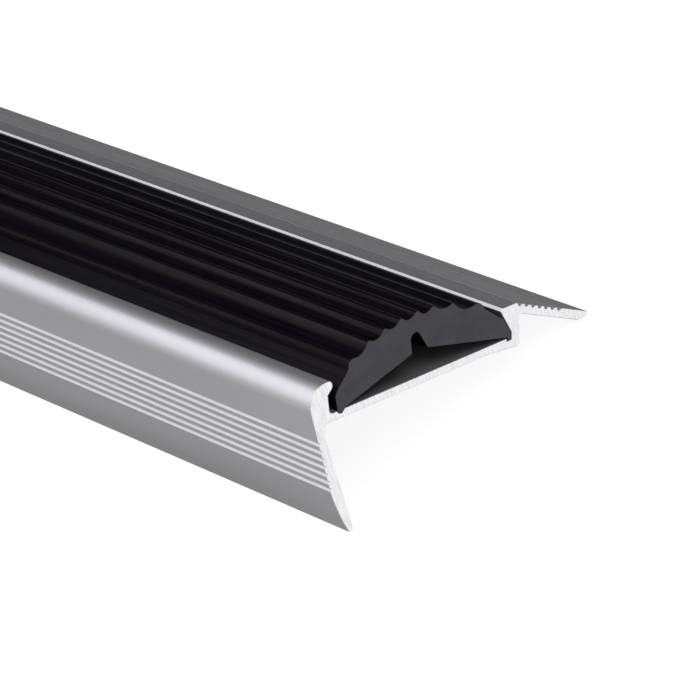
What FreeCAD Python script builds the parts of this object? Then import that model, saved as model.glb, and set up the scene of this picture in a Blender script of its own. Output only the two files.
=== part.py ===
import FreeCAD, Part
import math
import os
import Sketcher

# Stair nosing: an extruded aluminium profile with a ribbed rubber insert pressed into its channel.
# Both pieces are drawn as one cross-section each and extruded along X. Y runs from the nose to the
# rear of the tread and Z is up. The sections are drawn as fitted to a stair, with the stair's edge
# at the sketch's origin, and the finished pieces are laid down the way loose stock comes to rest,
# on the tip of the leg and the tip of the ramp.

SIZES = {
    # stock
    "length": 900,
    # nose and lip
    "wall_height": 5.05,
    "nose_radius": 2.45,
    "nose_reach": 2.25,
    "lip_radius": 0.66,
    "lip_reach": 1.23,
    "lip_angle": 45,
    "wall_foot": 0.7,
    "wall_lean": 5.5,
    "wall_fillet": 0.6,
    # leg over the riser
    "leg_drop": 14.55,
    "leg_straight": 1.8,
    "leg_lean": 17.5,
    "leg_tip_radius": 0.38,
    "face_lean": 14.2,
    "face_plain": 4.03,
    "leg_groove_pitch": 1.048,
    "leg_groove_depth": 0.25,
    "leg_groove_fall": 0.17,
    "leg_groove_rise": 0.32,
    "band_end_lean": 31,
    "corner_fillet": 0.3,
    # channel floor
    "floor_thickness": 1.02,
    "heel_start": 26,
    "heel_drop": 0.5,
    "heel_radius": 0.25,
    "front_toe_setback": 2.5,
    "front_toe_width": 1.25,
    "front_toe_depth": 0.43,
    "rear_toe_width": 0.88,
    "rear_toe_depth": 0.35,
    # rear wall, land and ramp
    "channel_end": 30.44,
    "rear_wall": 1.37,
    "undercut_height": 1.6,
    "undercut_angle": 31,
    "land_width": 2.9,
    "land_bevel_run": 0.5,
    "land_bevel_drop": 0.36,
    "ramp_angle": 21.5,
    "ramp_thickness": 1.2,
    "ramp_fillet": 0.3,
    "ramp_tip_radius": 0.38,
    "ramp_groove_start": 0.4,
    "ramp_groove_pitch": 1.215,
    "ramp_groove_depth": 0.32,
    # rubber insert
    "insert_clearance": 0.08,
    "arch_radius": 24,
    "arch_top": 9.12,
    "arch_setback": 14.4,
    "rib_offset": 0.36,
    "rib_pitch": 2.65,
    "rib_width": 0.8,
    "rib_crown": 0.2,
    "front_rib_width": 1.08,
    "front_rib_drop": 0.25,
    "rear_rib_width": 2.13,
    "rear_rib_crown": 0.45,
    "rear_rib_rise": 0.25,
    "scallop_depth": 0.37,
    "front_scallop": 3.11,
    "rear_scallop": 3.28,
    "rear_scallop_depth": 0.29,
    "shoulder_scallop": 4.66,
    "shoulder_scallop_depth": 0.42,
    "front_step_setback": 3.63,
    "front_step_height": 5.4,
    "front_flank_setback": 1.6,
    "front_flank_height": 3.15,
    "front_flank_radius": 1.2,
    "rear_flank_height": 3.6,
    "roof_thickness": 2.57,
    "slot_setback": 14.44,
    "slot_depth": 2.45,
    "slot_radius": 0.74,
    "slot_front_lean": 7,
    "slot_rear_lean": 32,
}
LEG_GROOVES = 7
RAMP_GROOVES = 7
MIDDLE_SCALLOPS = 4


class Formula:
    """A number together with the sheet formula that gives it, in which angles are in degrees."""

    def __init__(self, value, text):
        self.value = value
        self.text = text

    def joined(self, other, sign, value):
        return Formula(value, f"({self.text} {sign} {formula(other).text})")

    def __add__(self, other):
        return self.joined(other, "+", self.value + formula(other).value)

    def __sub__(self, other):
        return self.joined(other, "-", self.value - formula(other).value)

    def __mul__(self, other):
        return self.joined(other, "*", self.value * formula(other).value)

    def __truediv__(self, other):
        return self.joined(other, "/", self.value / formula(other).value)

    def __radd__(self, other):
        return formula(other) + self

    def __rsub__(self, other):
        return formula(other) - self

    def __rmul__(self, other):
        return formula(other) * self

    def __rtruediv__(self, other):
        return formula(other) / self

    def __neg__(self):
        return Formula(-self.value, f"(0 - {self.text})")


def formula(number):
    return number if isinstance(number, Formula) else Formula(float(number), repr(float(number)))


def sine(angle):
    return Formula(math.sin(math.radians(angle.value)), f"sin({angle.text})")


def cosine(angle):
    return Formula(math.cos(math.radians(angle.value)), f"cos({angle.text})")


def tangent(angle):
    return Formula(math.tan(math.radians(angle.value)), f"tan({angle.text})")


def root(number):
    return Formula(math.sqrt(number.value), f"sqrt({number.text})")


def bow_radius(half_chord, height):
    """Radius of the arc that stands this high over a chord."""
    return (half_chord * half_chord + height * height) / (2 * height)


class Outline:
    """A closed outline of lines and arcs, listed anticlockwise, whose corners are formulas."""

    def __init__(self, y, z):
        self.corners = [(formula(y), formula(z))]
        self.edges = []

    def line(self, y, z):
        self.corners.append((formula(y), formula(z)))
        self.edges.append(None)

    def arc(self, y, z, radius, turn):
        """An arc of less than half a circle: turn is 1 where it bulges outwards and -1 inwards."""
        self.corners.append((formula(y), formula(z)))
        self.edges.append((formula(radius), turn))

    def close(self, radius=None, turn=1):
        """The last edge, back to the first corner: straight, or an arc where a radius is given."""
        self.edges.append((formula(radius), turn) if radius else None)

    def draw(self, sketch):
        points = [FreeCAD.Vector(y.value, z.value, 0) for y, z in self.corners]
        count = len(self.edges)
        shapes = []
        for number, edge in enumerate(self.edges):
            start = points[number]
            end = points[(number + 1) % count]
            if edge is None:
                shapes.append(Part.LineSegment(start, end))
            else:
                shapes.append(arc_between(start, end, edge[0].value, edge[1]))
        sketch.addGeometry(shapes, False)

        def first_end(number):
            edge = self.edges[number % count]
            return 2 if edge and edge[1] < 0 else 1

        rules = []
        formulas = []
        for number, edge in enumerate(self.edges):
            start = first_end(number)
            following = (number + 1) % count
            rules.append(Sketcher.Constraint(
                "Coincident", number, 3 - start, following, first_end(following)))
            formulas.append(None)
            y, z = self.corners[number]
            rules.append(Sketcher.Constraint("DistanceX", -1, 1, number, start, y.value))
            formulas.append(y)
            rules.append(Sketcher.Constraint("DistanceY", -1, 1, number, start, z.value))
            formulas.append(z)
            if edge:
                rules.append(Sketcher.Constraint("Radius", number, edge[0].value))
                formulas.append(edge[0])
        sketch.addConstraint(rules)
        for number, bound in enumerate(formulas):
            if bound is not None and "Sizes" in bound.text:
                sketch.setExpression(f"Constraints[{number}]", bound.text)


def arc_between(start, end, radius, turn):
    chord = end - start
    middle = (start + end) * 0.5
    sideways = FreeCAD.Vector(-chord.y, chord.x, 0)
    sideways.normalize()
    reach = math.sqrt(max(radius ** 2 - chord.Length ** 2 / 4, 0))
    centre = middle + sideways * reach * turn
    first, last = (start, end) if turn > 0 else (end, start)
    angles = [math.atan2(p.y - centre.y, p.x - centre.x) for p in (first, last)]
    circle = Part.Circle(centre, FreeCAD.Vector(0, 0, 1), radius)
    return Part.ArcOfCircle(circle, angles[0], angles[1])


def make_sheet(doc):
    sheet = doc.addObject("Spreadsheet::Sheet", "Sizes")
    for row, (name, value) in enumerate(SIZES.items(), start=1):
        sheet.set(f"A{row}", name)
        sheet.set(f"B{row}", str(value))
        sheet.setAlias(f"B{row}", name)
    doc.recompute()
    return {name: Formula(float(sheet.get(name)), f"Sizes.{name}") for name in SIZES}


def extrude(doc, name, outline, size):
    body = doc.addObject("PartDesign::Body", name)
    body.Label = name
    plane = [item for item in body.Origin.OriginFeatures if item.Role == "YZ_Plane"][0]
    sketch = body.newObject("Sketcher::SketchObject", name + "_section")
    sketch.AttachmentSupport = (plane, [""])
    sketch.MapMode = "FlatFace"
    outline.draw(sketch)
    pad = body.newObject("PartDesign::Pad", name + "_length")
    pad.Profile = sketch
    pad.setExpression("Length", size["length"].text)
    pad.Midplane = True
    return body


def stand_height(size):
    """Where the rubber's feet stand, just clear of the channel floor."""
    return size["floor_thickness"] + size["insert_clearance"]


def scallops(size):
    """Pitch and depth of each scallop between two ribs, front to rear."""
    depth = size["scallop_depth"]
    rows = [(size["front_scallop"], depth)] + [(size["rib_pitch"], depth)] * MIDDLE_SCALLOPS
    rows.append((size["rear_scallop"], size["rear_scallop_depth"]))
    rows.append((size["shoulder_scallop"], size["shoulder_scallop_depth"]))
    return rows


def rib_places(size):
    """Distances of the ribs along the arch from its top, from the front one to the rear one."""
    place = size["rib_offset"] - size["front_scallop"] - size["rib_pitch"] * (MIDDLE_SCALLOPS - 1)
    places = [place]
    for pitch, _ in scallops(size):
        place = place + pitch
        places.append(place)
    return places


def ribs(size):
    """Place along the arch, width, crown and drop under the arch of each rib, front to rear."""
    first, *middle, last = rib_places(size)
    crown = size["rib_crown"]
    front = (first, size["front_rib_width"], crown, size["front_rib_drop"])
    rear = (last, size["rear_rib_width"], size["rear_rib_crown"], -size["rear_rib_rise"])
    return [front] + [(place, size["rib_width"], crown, 0) for place in middle] + [rear]


def rib_end(size, rib, side):
    """Where a rib's rounded top ends: side is 1 at its rear and -1 at its front."""
    place, width, crown, drop = rib
    angle = (place + side * width / 2) / size["arch_radius"] * math.degrees(1)
    reach = size["arch_radius"] - crown - drop
    y = size["arch_setback"] + reach * sine(angle)
    z = size["arch_top"] - size["arch_radius"] + reach * cosine(angle)
    return y, z


def leg_tip(size):
    z = size["leg_tip_radius"] - size["leg_drop"]
    y = tangent(size["leg_lean"]) * (-z - size["leg_straight"])
    y = y - size["leg_tip_radius"] / cosine(size["leg_lean"])
    return y, z


def land_end(size):
    undercut = (size["wall_height"] - size["undercut_height"]) * tangent(size["undercut_angle"])
    return size["channel_end"] - undercut + size["land_width"]


def ramp_tip(size):
    z = size["ramp_tip_radius"] - size["heel_drop"]
    drop = size["wall_height"] - z - size["ramp_tip_radius"] / cosine(size["ramp_angle"])
    return land_end(size) + drop / tangent(size["ramp_angle"]), z


def draw_heel_and_ramp(outline, size):
    """Underside of the channel floor, heel, rear wall and the ramp out to its tip."""
    slope = size["ramp_angle"]
    rear = size["channel_end"] + size["rear_wall"]
    under = size["wall_height"] - (rear - land_end(size)) * tangent(slope)
    under = under - size["ramp_thickness"] / cosine(slope)
    setback = size["ramp_fillet"] / tangent((90 - slope) / 2)
    tip_y, tip_z = ramp_tip(size)
    seat = -size["heel_drop"]
    outline.line(size["heel_start"], 0)
    outline.line(rear - size["heel_radius"], seat)
    outline.arc(rear, seat + size["heel_radius"], size["heel_radius"], 1)
    outline.line(rear, under - setback)
    outline.arc(rear + setback * cosine(slope), under - setback * sine(slope), size["ramp_fillet"], -1)
    outline.line(rear + (under - seat) / tangent(slope), seat)
    outline.line(tip_y, seat)
    outline.arc(tip_y + size["ramp_tip_radius"] * sine(slope),
                tip_z + size["ramp_tip_radius"] * cosine(slope), size["ramp_tip_radius"], 1)


def ramp_point(size, along, depth):
    """A point down the ramp from the edge of the land, this deep under its surface."""
    slope = size["ramp_angle"]
    y = land_end(size) + along * cosine(slope) - depth * sine(slope)
    z = size["wall_height"] - along * sine(slope) - depth * cosine(slope)
    return y, z


def draw_ramp_grooves(outline, size):
    """Rounded grooves and crests up the ramp, from the lowest to the land."""
    pitch = size["ramp_groove_pitch"]
    half = size["ramp_groove_depth"] / 2
    radius = bow_radius(pitch / 4, half)
    for number in reversed(range(RAMP_GROOVES)):
        start = size["ramp_groove_start"] + pitch * number
        crest_end = start + pitch if number < RAMP_GROOVES - 1 else start + 0.75 * pitch
        if number == RAMP_GROOVES - 1:
            outline.line(*ramp_point(size, crest_end, 0))
        outline.arc(*ramp_point(size, start + pitch / 2, half), radius, 1)
        outline.arc(*ramp_point(size, start, half), radius, -1)
    outline.line(land_end(size), size["wall_height"])


def draw_channel(outline, size):
    """Land, its bevelled edge, undercut rear wall, toe grooves, floor and the front wall's inside."""
    rear = size["channel_end"]
    top = size["floor_thickness"]
    edge = land_end(size) - size["land_width"]
    bevel = size["wall_height"] - size["land_bevel_drop"]
    outline.line(edge + size["land_bevel_run"], size["wall_height"])
    outline.line(rear - (bevel - size["undercut_height"]) * tangent(size["undercut_angle"]), bevel)
    outline.line(rear, size["undercut_height"])
    outline.line(rear, top - size["rear_toe_depth"])
    outline.line(rear - size["rear_toe_width"], top - size["rear_toe_depth"])
    outline.line(rear - size["rear_toe_width"], top)
    half = size["front_toe_width"] / 2
    outline.line(size["front_toe_setback"] + half, top)
    outline.arc(size["front_toe_setback"] - half, top, bow_radius(half, size["front_toe_depth"]), -1)
    setback = size["wall_fillet"] / tangent((90 + size["wall_lean"]) / 2)
    outline.line(size["wall_foot"] + setback, top)
    outline.arc(size["wall_foot"] - setback * sine(size["wall_lean"]),
                top + setback * cosine(size["wall_lean"]), size["wall_fillet"], -1)


def draw_lip_and_nose(outline, size):
    radius = size["lip_radius"]
    centre_y = size["lip_reach"] - radius
    centre_z = size["wall_height"] - radius
    under_y = centre_y + radius * sine(size["lip_angle"])
    under_z = centre_z - radius * cosine(size["lip_angle"])
    rise = tangent(size["lip_angle"])
    lean = tangent(size["wall_lean"])
    top = size["floor_thickness"]
    corner_z = (under_z - rise * (under_y - size["wall_foot"]) + rise * lean * top) / (1 + rise * lean)
    outline.line(size["wall_foot"] - lean * (corner_z - top), corner_z)
    outline.line(under_y, under_z)
    outline.arc(centre_y, size["wall_height"], radius, 1)
    nose_y = size["nose_radius"] - size["nose_reach"]
    outline.line(nose_y, size["wall_height"])
    outline.arc(*face_point(size, 0, 0), size["nose_radius"], 1)


def face_point(size, along, depth):
    """A point down the leg's outer face from the end of the nose's curve, this deep under it."""
    lean = size["face_lean"]
    nose_y = size["nose_radius"] - size["nose_reach"]
    nose_z = size["wall_height"] - size["nose_radius"]
    y = nose_y - (size["nose_radius"] - depth) * cosine(lean) + along * sine(lean)
    z = nose_z - (size["nose_radius"] - depth) * sine(lean) - along * cosine(lean)
    return y, z


def draw_leg(outline, size):
    """Grooved outer face, lower band, tip and inner face of the leg."""
    for number in range(LEG_GROOVES):
        start = size["face_plain"] + size["leg_groove_pitch"] * number
        bottom = start + size["leg_groove_fall"]
        outline.line(*face_point(size, start, 0))
        outline.line(*face_point(size, bottom, size["leg_groove_depth"]))
        outline.line(*face_point(size, bottom + size["leg_groove_rise"], 0))
    tip_y, tip_z = leg_tip(size)
    radius = size["leg_tip_radius"]
    start_y, start_z = outline.corners[-1]
    end_y = tip_y - radius * cosine(size["band_end_lean"])
    end_z = tip_z - radius * sine(size["band_end_lean"])
    across = end_y - start_y
    down = start_z - end_z
    turn = sine(size["band_end_lean"]) * down - cosine(size["band_end_lean"]) * across
    outline.arc(end_y, end_z, (across * across + down * down) / (2 * turn), 1)
    outline.arc(tip_y + radius * cosine(size["leg_lean"]), tip_z + radius * sine(size["leg_lean"]), radius, 1)
    outline.line(0, -size["leg_straight"])
    outline.line(0, -size["corner_fillet"])
    outline.close(size["corner_fillet"], -1)


def make_profile(doc, size):
    outline = Outline(size["corner_fillet"], 0)
    draw_heel_and_ramp(outline, size)
    draw_ramp_grooves(outline, size)
    draw_channel(outline, size)
    draw_lip_and_nose(outline, size)
    draw_leg(outline, size)
    return extrude(doc, "aluminium_profile", outline, size)


def draw_rubber_underside(outline, size):
    """Front foot, arched underside with its slot, and the rear foot up to the rear flank."""
    stand = stand_height(size)
    clear = size["insert_clearance"]
    half = size["front_toe_width"] / 2
    bend_y = size["slot_setback"]
    bend_z = size["arch_top"] - size["roof_thickness"] - size["slot_radius"]
    mouth_z = bend_z + size["slot_radius"] - size["slot_depth"]
    front_y = bend_y - size["slot_radius"] * cosine(size["slot_front_lean"])
    front_z = bend_z - size["slot_radius"] * sine(size["slot_front_lean"])
    rear_y = bend_y + size["slot_radius"] * cosine(size["slot_rear_lean"])
    rear_z = bend_z + size["slot_radius"] * sine(size["slot_rear_lean"])
    outline.arc(size["front_toe_setback"] + half, stand, bow_radius(half, size["front_toe_depth"]), 1)
    outline.line(front_y + (front_z - mouth_z) * tangent(size["slot_front_lean"]), mouth_z)
    outline.line(front_y, front_z)
    outline.arc(rear_y, rear_z, size["slot_radius"], -1)
    outline.line(rear_y + (rear_z - mouth_z) * tangent(size["slot_rear_lean"]), mouth_z)
    rear = size["channel_end"]
    foot = rear - size["rear_toe_width"] + clear
    outline.line(foot, stand)
    outline.line(foot, stand - size["rear_toe_depth"])
    outline.line(rear - clear, stand - size["rear_toe_depth"])
    outline.line(rear - clear, size["undercut_height"])
    rise = size["rear_flank_height"] - size["undercut_height"]
    outline.line(rear - clear - rise * tangent(size["undercut_angle"]), size["rear_flank_height"])


def draw_ribs(outline, size):
    """Ribs and the scallops between them, from the rear shoulder to the front one."""
    rows = ribs(size)
    depths = [depth for _, depth in scallops(size)]
    outline.line(*rib_end(size, rows[-1], 1))
    for number in reversed(range(len(rows))):
        place, width, crown, _ = rows[number]
        outline.arc(*rib_end(size, rows[number], -1), bow_radius(width / 2, crown), 1)
        if number:
            ahead, ahead_width, _, _ = rows[number - 1]
            gap = place - ahead - (width + ahead_width) / 2
            radius = bow_radius(gap / 2, depths[number - 1])
            outline.arc(*rib_end(size, rows[number - 1], 1), radius, -1)


def draw_front_flank(outline, size):
    """A step under the first rib, the flank down to its rounded corner, and the foot's front."""
    flank_y = size["front_flank_setback"]
    flank_z = size["front_flank_height"]
    step_y = size["front_step_setback"]
    step_z = size["front_step_height"]
    run = root((step_y - flank_y) * (step_y - flank_y) + (step_z - flank_z) * (step_z - flank_z))
    across = (step_y - flank_y) / run
    upward = (step_z - flank_z) / run
    setback = size["front_flank_radius"] * (1 - upward) / across
    outline.line(step_y, step_z)
    outline.line(flank_y + setback * across, flank_z + setback * upward)
    outline.arc(flank_y, flank_z - setback, size["front_flank_radius"], 1)
    outline.close()


def make_insert(doc, size):
    foot_y = size["front_toe_setback"] - size["front_toe_width"] / 2
    outline = Outline(foot_y, stand_height(size))
    draw_rubber_underside(outline, size)
    draw_ribs(outline, size)
    draw_front_flank(outline, size)
    return extrude(doc, "rubber_insert", outline, size)


def rest_placement(profile, size):
    """The section turned until both tips touch the floor, centred over it."""
    leg_y, leg_z = (number.value for number in leg_tip(size))
    ramp_y, ramp_z = (number.value for number in ramp_tip(size))
    apart = math.hypot(ramp_y - leg_y, ramp_z - leg_z)
    tips = size["leg_tip_radius"].value - size["ramp_tip_radius"].value
    turn = math.atan2(ramp_z - leg_z, ramp_y - leg_y) + math.asin(tips / apart)
    rotation = FreeCAD.Rotation(FreeCAD.Vector(1, 0, 0), -math.degrees(turn))
    turned = profile.Shape.copy()
    turned.Placement = FreeCAD.Placement(FreeCAD.Vector(), rotation)
    box = turned.optimalBoundingBox(False, False)
    base = FreeCAD.Vector(0, -(box.YMin + box.YMax) / 2, -box.ZMin)
    return FreeCAD.Placement(base, rotation)


def check(doc, bodies):
    for item in doc.Objects:
        if "Invalid" in item.State or "Error" in item.State:
            raise RuntimeError(f"{item.Name} is {item.State}")
    for body in bodies:
        if body.Shape.isNull() or not body.Shape.isValid():
            raise RuntimeError(f"{body.Label} has no valid shape")


def main():
    doc = FreeCAD.newDocument("stair_nosing")
    size = make_sheet(doc)
    bodies = [make_profile(doc, size), make_insert(doc, size)]
    doc.recompute()
    placement = rest_placement(bodies[0], size)
    for body in bodies:
        body.Placement = placement
    doc.recompute()
    check(doc, bodies)
    os.makedirs("parts", exist_ok=True)
    for body in bodies:
        body.Shape.exportStep(f"parts/{body.Label}.step")
        box = body.Shape.BoundBox
        print(body.Label, round(body.Shape.Volume, 1), [round(x, 2) for x in (
            box.XLength, box.YMin, box.YMax, box.ZMin, box.ZMax)])


main()
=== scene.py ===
"""Looks of the stair nosing: the satin anodised profile and its black rubber insert."""
import math

import bmesh
import bpy
from mathutils import Matrix, Vector
from mathutils.geometry import tessellate_polygon


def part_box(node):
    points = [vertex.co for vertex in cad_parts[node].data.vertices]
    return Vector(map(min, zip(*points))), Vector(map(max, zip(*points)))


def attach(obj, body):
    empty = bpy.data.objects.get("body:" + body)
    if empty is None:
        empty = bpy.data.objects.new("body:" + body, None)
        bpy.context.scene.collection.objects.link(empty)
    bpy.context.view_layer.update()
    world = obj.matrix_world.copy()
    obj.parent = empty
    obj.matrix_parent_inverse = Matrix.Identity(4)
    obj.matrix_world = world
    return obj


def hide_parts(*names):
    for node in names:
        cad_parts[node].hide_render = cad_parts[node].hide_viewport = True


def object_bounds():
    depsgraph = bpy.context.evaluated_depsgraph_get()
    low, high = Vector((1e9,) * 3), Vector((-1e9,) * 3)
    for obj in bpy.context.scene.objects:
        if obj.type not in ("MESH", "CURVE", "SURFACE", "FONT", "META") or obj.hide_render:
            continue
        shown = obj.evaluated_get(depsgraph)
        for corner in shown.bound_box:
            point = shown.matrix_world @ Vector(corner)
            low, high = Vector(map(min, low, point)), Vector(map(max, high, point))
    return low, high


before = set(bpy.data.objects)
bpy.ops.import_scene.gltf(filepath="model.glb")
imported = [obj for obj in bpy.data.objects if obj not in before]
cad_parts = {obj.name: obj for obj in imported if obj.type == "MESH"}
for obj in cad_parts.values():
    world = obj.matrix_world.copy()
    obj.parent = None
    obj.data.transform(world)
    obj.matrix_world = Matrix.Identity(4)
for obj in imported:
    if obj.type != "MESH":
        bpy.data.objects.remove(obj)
cad_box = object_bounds()

MM = 0.001

# The corners of both sections: the least turn that makes one sharp, the radius of the
# round that eases it, the steps of that round, and the largest share that it may take of
# the outline between two sharp corners.
CORNER_TURN = math.radians(25)
CORNER_EASE = 0.07 * MM
CORNER_STEPS = 4
CORNER_SHARE = 0.4

# The cut ends: the size of the break at their edges, and the least that a cut end's normal
# points along the part. The normals of the sides point along it by less than SIDE_FACING.
CUT_EDGE = 0.05 * MM
CUT_FACING = 0.9
SIDE_FACING = 0.5

# How many stretches the sides have along the part, and how near two points count as one.
STATIONS = 18
WELD = 0.001 * MM

# The line that the insert's arched top is round about, and its distance from the
# valleys between the ribs and from their peaks.
ARCH_CENTRE = (-10.793 * MM, -3.913 * MM)
VALLEY_RADIUS = 23.4 * MM
PEAK_RADIUS = 23.9 * MM

# The finishes. A grain has a size along x, y and z, in millimetres. Between two tones or
# two numbers, a surface goes from the first to the second as its grain rises, and
# GRAIN_RISE has the levels of noise between which it does.
GRAIN_RISE = (0.3, 0.7)

ETCH = (0.16, 0.12, 0.12)
DRAWN_LINES = (60, 0.35, 0.35)
ANODISED_CLOUD = (40, 8, 8)
ANODISED_TONES = ((0.317, 0.314, 0.329), (0.342, 0.339, 0.354))
ANODISED_ROUGHNESS = (0.4, 0.46)
ETCH_DEPTH = 0.014 * MM
DRAWN_DEPTH = 0.006 * MM

SAW_MARKS = (5, 0.18, 2.5)
SAWN_GRAIN = (0.4, 0.35, 0.35)
SAWN_WEAR = (0.5, 1)
SAWN_TONES = ((0.87, 0.87, 0.88), (0.6, 0.6, 0.61))
SAWN_ROUGHNESS = (0.45, 0.6)
SAW_MARK_DEPTH = 0.015 * MM
SAWN_GRAIN_DEPTH = 0.01 * MM

RUBBER_STREAKS = (30, 0.5, 0.5)
RUBBER_GRAIN = (0.15, 0.15, 0.15)
RUBBER_TONES = ((0.0014, 0.0011, 0.0018), (0.0028, 0.0024, 0.0033))
RUBBER_ROUGHNESS = (0.28, 0.36)
STREAK_DEPTH = 0.022 * MM
RUBBER_GRAIN_DEPTH = 0.01 * MM

CUT_CLOUD = (4, 3, 2)
CUT_GRAIN = (0.2, 0.2, 0.2)
CUT_TONES = ((0.031, 0.03, 0.035), (0.043, 0.042, 0.048))
CUT_ROUGHNESS = (0.65, 0.85)
CUT_GRAIN_DEPTH = 0.015 * MM

# The rubber's sheen: how strong it is where the surface is faced and where it is seen
# aslant, and how far aslant that is. Then what it is multiplied by, from the dull streaks
# to the bright ones, and from the valleys to the peaks of the ribs.
SHEEN = (0.055, 0.008)
SHEEN_SLANT = (0.26, 0.36)
STREAK_SHEEN = (0.7, 1.35)
RIB_SHEEN = (0.45, 1.2)

# The camera: how it is turned in degrees, how far it stands from the point of the near end
# that it looks at, and the nearest and farthest that it sees.
LENS = 171.25
SENSOR = 36.0
HEADING = 144.298
DECLINE = 36.007
ROLL = -18.375
DISTANCE = 368.80 * MM
AIM = Vector((450.0, -13.04, 20.87)) * MM
CLIP_START = 10 * MM
CLIP_END = 100

# The long soft boxes, as long as a wall of the studio: the angles between which each lies,
# seen from the part, and how bright it is. The angles go from level behind the part, over
# its top at 90 degrees, to level in front of it at 180.
BOX_DISTANCE = 1.5
BOX_LENGTH = 6.0
SOFT_BOXES = {"top box": (87, 151, 2.6), "front box": (151, 176, 1.9)}

# The square soft boxes that face the part's near end: how many degrees up each stands, and
# how bright it is.
END_BOX_SIZE = 1.0
END_BOXES = {"low end box": (10, 1.35), "high end box": (64, 5.6)}

# The dim light from all round, and the floor: its size, its own tone, on which the part's
# shadow falls, and how brightly it glows to the camera and in gloss.
STUDIO = (0.17, 0.17, 0.18, 1)
FLOOR_SIZE = 30.0
FLOOR_TONE = (0.1, 0.1, 0.1, 1)
FLOOR_GLOW = 0.9


def end_outline(node):
    """A node's outline at its near end, as (y, z) points in order."""
    mesh = bmesh.new()
    mesh.from_mesh(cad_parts[node].data)
    bmesh.ops.remove_doubles(mesh, verts=mesh.verts, dist=WELD)
    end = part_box(node)[1].x
    beside = {}
    for edge in mesh.edges:
        on_end = all(abs(vertex.co.x - end) < WELD for vertex in edge.verts)
        if on_end and any(abs(face.normal.x) < SIDE_FACING for face in edge.link_faces):
            for vertex in edge.verts:
                beside.setdefault(vertex, []).append(edge.other_vert(vertex))
    first = min(beside, key=lambda vertex: vertex.co.y)
    ring = [first, beside[first][0]]
    while True:
        following = [vertex for vertex in beside[ring[-1]] if vertex is not ring[-2]][0]
        if following is first:
            break
        ring.append(following)
    outline = [vertex.co.yz.copy() for vertex in ring]
    mesh.free()
    return outline


def turn_at(points, i):
    """How far the outline turns at one of its points."""
    before = points[i] - points[i - 1]
    after = points[(i + 1) % len(points)] - points[i]
    return abs(before.angle_signed(after))


def trimmed(chain, start, end):
    """A run of points with a length taken off at each end."""
    for size in (start, end):
        left = size
        while left > 0:
            step = (chain[1] - chain[0]).length
            if step > left:
                chain = [chain[0].lerp(chain[1], left / step)] + chain[1:]
                break
            left -= step
            chain = chain[1:]
        chain = chain[::-1]
    return chain


def eased(points):
    """The outline with each sharp corner eased to a small round."""
    corners = [i for i in range(len(points)) if turn_at(points, i) > CORNER_TURN]
    count = len(points)
    runs = []
    for i, corner in enumerate(corners):
        following = corners[(i + 1) % len(corners)]
        size = (following - corner) % count
        runs.append([points[(corner + k) % count] for k in range(size + 1)])
    longest = [CORNER_SHARE * sum((b - a).length for a, b in zip(run, run[1:])) for run in runs]
    cuts = []
    for i, corner in enumerate(corners):
        cut = CORNER_EASE * math.tan(turn_at(points, corner) / 2)
        cuts.append(min(cut, longest[i - 1], longest[i]))
    outline = []
    for i, run in enumerate(runs):
        j = (i + 1) % len(runs)
        run = trimmed(run, cuts[i], cuts[j])
        outline += run
        start, corner = run[-1], points[corners[j]]
        end = trimmed(runs[j], cuts[j], 0)[0]
        for k in range(1, CORNER_STEPS):
            t = k / CORNER_STEPS
            outline.append(start.lerp(corner, t).lerp(corner.lerp(end, t), t))
    return outline


def shrunk(points, size):
    """The outline moved inward by a small size."""
    count = len(points)
    area = sum(a.cross(b) for a, b in zip(points, points[1:] + points[:1]))
    side = math.copysign(size, area)
    moved = []
    for i, point in enumerate(points):
        along = (points[(i + 1) % count] - points[i - 1]).normalized()
        moved.append(point + side * Vector((-along.y, along.x)))
    return moved


def drawn_out(full, low, high):
    """The points and faces of a section that runs from low to high along the part."""
    small = shrunk(full, CUT_EDGE)
    rings = [(low, small), (low + CUT_EDGE, full)]
    for k in range(1, STATIONS):
        rings.append((low + (high - low) * k / STATIONS, full))
    rings += [(high - CUT_EDGE, full), (high, small)]
    count = len(full)
    points = [(x, p.x, p.y) for x, ring in rings for p in ring]
    faces = []
    for r in range(len(rings) - 1):
        for k in range(count):
            n = (k + 1) % count
            a, b = r * count, (r + 1) * count
            faces.append((a + k, a + n, b + n, b + k))
    # The cut ends are divided into triangles in millimetres, for precision.
    cap = tessellate_polygon([[Vector((*p, 0)) / MM for p in small]])
    for first in (0, len(points) - count):
        faces += [[first + k for k in triangle] for triangle in cap]
    return points, faces


def extrusion(name, node, side, cut):
    """A node's section along its length, with eased corners and cut ends."""
    low, high = (corner.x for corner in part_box(node))
    points, faces = drawn_out(eased(end_outline(node)), low, high)
    data = bpy.data.meshes.new(name)
    data.from_pydata(points, [], faces)
    mesh = bmesh.new()
    mesh.from_mesh(data)
    bmesh.ops.recalc_face_normals(mesh, faces=mesh.faces)
    for face in mesh.faces:
        face.smooth = True
        face.material_index = 1 if abs(face.normal.x) > CUT_FACING else 0
    mesh.to_mesh(data)
    mesh.free()
    data.set_sharp_from_angle(angle=CORNER_TURN)
    data.materials.append(side)
    data.materials.append(cut)
    piece = bpy.data.objects.new(name, data)
    bpy.context.collection.objects.link(piece)
    flatten = piece.modifiers.new("flat faces stay flat", "WEIGHTED_NORMAL")
    flatten.keep_sharp = True
    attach(piece, "root")
    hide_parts(node)


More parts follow.
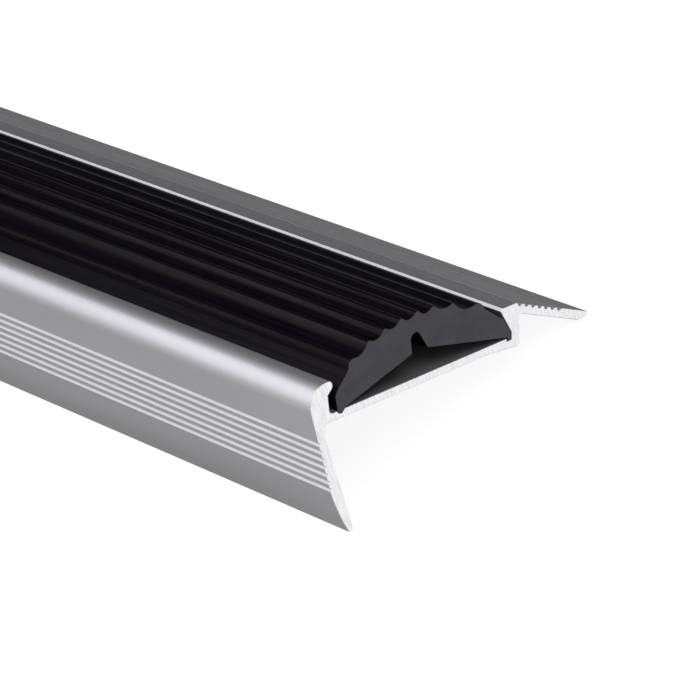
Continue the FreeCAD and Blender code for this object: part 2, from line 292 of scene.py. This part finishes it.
class Finish:
    """A material whose nodes are added one line at a time."""

    def __init__(self, name):
        self.material = bpy.data.materials.new(name)
        self.material.use_nodes = True
        self.tree = self.material.node_tree
        self.shader = self.tree.nodes["Principled BSDF"]
        self.place = self.node("ShaderNodeTexCoord").outputs["Object"]

    def node(self, kind, **values):
        """A new node with these settings."""
        made = self.tree.nodes.new(kind)
        for key, value in values.items():
            setattr(made, key, value)
        return made

    def link(self, source, target):
        """A link from one socket to another."""
        self.tree.links.new(source, target)

    def base(self, **values):
        """Values set on the shader's own sockets."""
        for key, value in values.items():
            self.shader.inputs[key.replace("_", " ")].default_value = value

    def grain(self, size, detail=3.0):
        """Noise whose grains have this size along x, y and z, in millimetres."""
        scale = self.node("ShaderNodeMapping")
        scale.inputs["Scale"].default_value = [1 / (s * MM) for s in size]
        self.link(self.place, scale.inputs["Vector"])
        noise = self.node("ShaderNodeTexNoise")
        noise.inputs["Scale"].default_value = 1.0
        noise.inputs["Detail"].default_value = detail
        self.link(scale.outputs["Vector"], noise.inputs["Vector"])
        return noise.outputs["Fac"]

    def spread(self, source, ends=(0, 1), rise=GRAIN_RISE):
        """A number that goes between two ends as the source rises between two levels."""
        ranged = self.node("ShaderNodeMapRange")
        ranged.inputs["From Min"].default_value, ranged.inputs["From Max"].default_value = rise
        ranged.inputs["To Min"].default_value, ranged.inputs["To Max"].default_value = ends
        self.link(source, ranged.inputs["Value"])
        return ranged.outputs["Result"]

    def radius(self, centre):
        """The distance from a line along the part."""
        moved = self.node("ShaderNodeVectorMath", operation="SUBTRACT")
        self.link(self.place, moved.inputs[0])
        moved.inputs[1].default_value = (0, *centre)
        flat = self.node("ShaderNodeVectorMath", operation="MULTIPLY")
        self.link(moved.outputs["Vector"], flat.inputs[0])
        flat.inputs[1].default_value = (0, 1, 1)
        length = self.node("ShaderNodeVectorMath", operation="LENGTH")
        self.link(flat.outputs["Vector"], length.inputs[0])
        return length.outputs["Value"]

    def maths(self, operation, first, second):
        """The result of an operation on two numbers."""
        result = self.node("ShaderNodeMath", operation=operation)
        self.link(first, result.inputs[0])
        self.link(second, result.inputs[1])
        return result.outputs["Value"]

    def tone(self, source, tones):
        """The base colour, from one tone to the other as the source goes from 0 to 1."""
        mixed = self.node("ShaderNodeMix", data_type="RGBA")
        self.link(source, mixed.inputs["Factor"])
        for key, colour in zip("AB", tones):
            mixed.inputs[key].default_value = (*colour, 1)
        self.link(mixed.outputs["Result"], self.shader.inputs["Base Color"])

    def roughness(self, source, ends):
        """The roughness, which goes between two ends as the grain rises."""
        self.link(self.spread(source, ends), self.shader.inputs["Roughness"])

    def relief(self, *layers):
        """Bumps laid over each other, each a (height, depth) pair."""
        normal = None
        for height, depth in layers:
            bump = self.node("ShaderNodeBump")
            bump.inputs["Distance"].default_value = depth
            self.link(height, bump.inputs["Height"])
            if normal:
                self.link(normal, bump.inputs["Normal"])
            normal = bump.outputs["Normal"]
        self.link(normal, self.shader.inputs["Normal"])


def anodised():
    """Satin anodised aluminium: an etched grain over faint drawn lines."""
    finish = Finish("anodised aluminium")
    finish.base(Metallic=0.9, Specular_Tint=(0.1, 0.1, 0.105, 1), Specular_IOR_Level=0.2)
    etch = finish.grain(ETCH)
    lines = finish.grain(DRAWN_LINES)
    cloud = finish.grain(ANODISED_CLOUD, detail=2.0)
    finish.tone(finish.spread(cloud), ANODISED_TONES)
    finish.roughness(lines, ANODISED_ROUGHNESS)
    finish.relief((lines, DRAWN_DEPTH), (etch, ETCH_DEPTH))
    return finish.material


def sawn():
    """Bare aluminium where the length was sawn off."""
    finish = Finish("sawn aluminium")
    finish.base(Metallic=0.8)
    marks = finish.grain(SAW_MARKS, detail=4.0)
    grain = finish.grain(SAWN_GRAIN, detail=4.0)
    worn = finish.maths("MULTIPLY", finish.spread(marks), finish.spread(grain, SAWN_WEAR))
    finish.tone(worn, SAWN_TONES)
    finish.roughness(marks, SAWN_ROUGHNESS)
    finish.relief((marks, SAW_MARK_DEPTH), (grain, SAWN_GRAIN_DEPTH))
    return finish.material


def rubber():
    """Black extruded rubber: a faint sheen where it is faced, dull where it is seen aslant."""
    finish = Finish("black rubber")
    finish.base(Specular_Tint=(1, 0.92, 1, 1))
    streaks = finish.grain(RUBBER_STREAKS)
    grain = finish.grain(RUBBER_GRAIN, detail=2.0)
    finish.tone(finish.spread(streaks), RUBBER_TONES)
    finish.roughness(streaks, RUBBER_ROUGHNESS)
    slant = finish.node("ShaderNodeLayerWeight").outputs["Facing"]
    sheen = finish.spread(slant, SHEEN, SHEEN_SLANT)
    sheen = finish.maths("MULTIPLY", sheen, finish.spread(streaks, STREAK_SHEEN))
    height = finish.radius(ARCH_CENTRE)
    polish = finish.spread(height, RIB_SHEEN, (VALLEY_RADIUS, PEAK_RADIUS))
    sheen = finish.maths("MULTIPLY", sheen, polish)
    finish.link(sheen, finish.shader.inputs["Specular IOR Level"])
    finish.relief((streaks, STREAK_DEPTH), (grain, RUBBER_GRAIN_DEPTH))
    return finish.material


def cut_rubber():
    """The rubber where it was cut through, greyer and duller."""
    finish = Finish("cut rubber")
    finish.base(Specular_IOR_Level=0.3)
    cloud = finish.grain(CUT_CLOUD)
    grain = finish.grain(CUT_GRAIN)
    finish.tone(finish.spread(cloud), CUT_TONES)
    finish.roughness(grain, CUT_ROUGHNESS)
    finish.relief((grain, CUT_GRAIN_DEPTH))
    return finish.material


def floor():
    """A plain white floor, which keeps the part's shadow."""
    bpy.ops.mesh.primitive_plane_add(size=FLOOR_SIZE)
    plane = bpy.context.object
    plane.name = "floor"
    finish = Finish("white floor")
    finish.base(Base_Color=FLOOR_TONE, Roughness=0.9, Specular_IOR_Level=0.0)
    path = finish.node("ShaderNodeLightPath")
    seen = path.outputs["Is Camera Ray"]
    for other in ("Is Glossy Ray", "Is Transmission Ray"):
        seen = finish.maths("MAXIMUM", seen, path.outputs[other])
    finish.base(Emission_Color=(1, 1, 1, 1))
    glow = finish.spread(seen, (0, FLOOR_GLOW), (0, 1))
    finish.link(glow, finish.shader.inputs["Emission Strength"])
    plane.data.materials.append(finish.material)


def lamp(name, target, away, size, radiance):
    """A rectangle of light that faces the target from the way given."""
    data = bpy.data.lights.new(name, "AREA")
    data.shape = "RECTANGLE"
    data.size, data.size_y = size
    data.energy = radiance * math.pi * data.size * data.size_y
    box = bpy.data.objects.new(name, data)
    facing = (-away).to_track_quat("-Z", "Y").to_matrix().to_4x4()
    box.matrix_world = Matrix.Translation(target + away * BOX_DISTANCE) @ facing
    bpy.context.collection.objects.link(box)


def soft_box(name, start, end, radiance):
    """A long soft box that lies between two angles, seen from the part."""
    middle, half = math.radians((start + end) / 2), math.radians((end - start) / 2)
    width = 2 * BOX_DISTANCE * math.tan(half)
    away = Vector((0, math.cos(middle), math.sin(middle)))
    lamp(name, Vector((0, 0, 0)), away, (BOX_LENGTH, width), radiance)


def end_box(name, rise, radiance):
    """A soft box that faces the near end of the part."""
    rise = math.radians(rise)
    away = Vector((math.cos(rise), 0, math.sin(rise)))
    end = Vector((cad_box[1][0], 0, 0))
    lamp(name, end, away, (END_BOX_SIZE, END_BOX_SIZE), radiance)


def light():
    """The soft boxes, and the dim light from all round."""
    for name, (start, end, radiance) in SOFT_BOXES.items():
        soft_box(name, start, end, radiance)
    for name, (rise, radiance) in END_BOXES.items():
        end_box(name, rise, radiance)
    world = bpy.data.worlds.new("studio")
    bpy.context.scene.world = world
    world.use_nodes = True
    world.node_tree.nodes["Background"].inputs["Color"].default_value = STUDIO


def camera():
    """The camera at the photograph's viewing angle."""
    data = bpy.data.cameras.new("camera")
    data.lens = LENS
    data.sensor_width = SENSOR
    data.clip_start = CLIP_START
    data.clip_end = CLIP_END
    eye = bpy.data.objects.new("camera", data)
    heading, decline = math.radians(HEADING), math.radians(DECLINE)
    level = math.cos(decline)
    ahead = Vector((math.cos(heading) * level, math.sin(heading) * level, -math.sin(decline)))
    upright = ahead.to_track_quat("-Z", "Y").to_matrix().to_4x4()
    turned = upright @ Matrix.Rotation(math.radians(ROLL), 4, "Z")
    eye.matrix_world = Matrix.Translation(AIM - DISTANCE * ahead) @ turned
    bpy.context.collection.objects.link(eye)
    bpy.context.scene.camera = eye


bpy.context.scene.view_settings.view_transform = "Standard"
extrusion("nosing_profile", "aluminium_profile", anodised(), sawn())
extrusion("nosing_insert", "rubber_insert", rubber(), cut_rubber())
floor()
light()
camera()
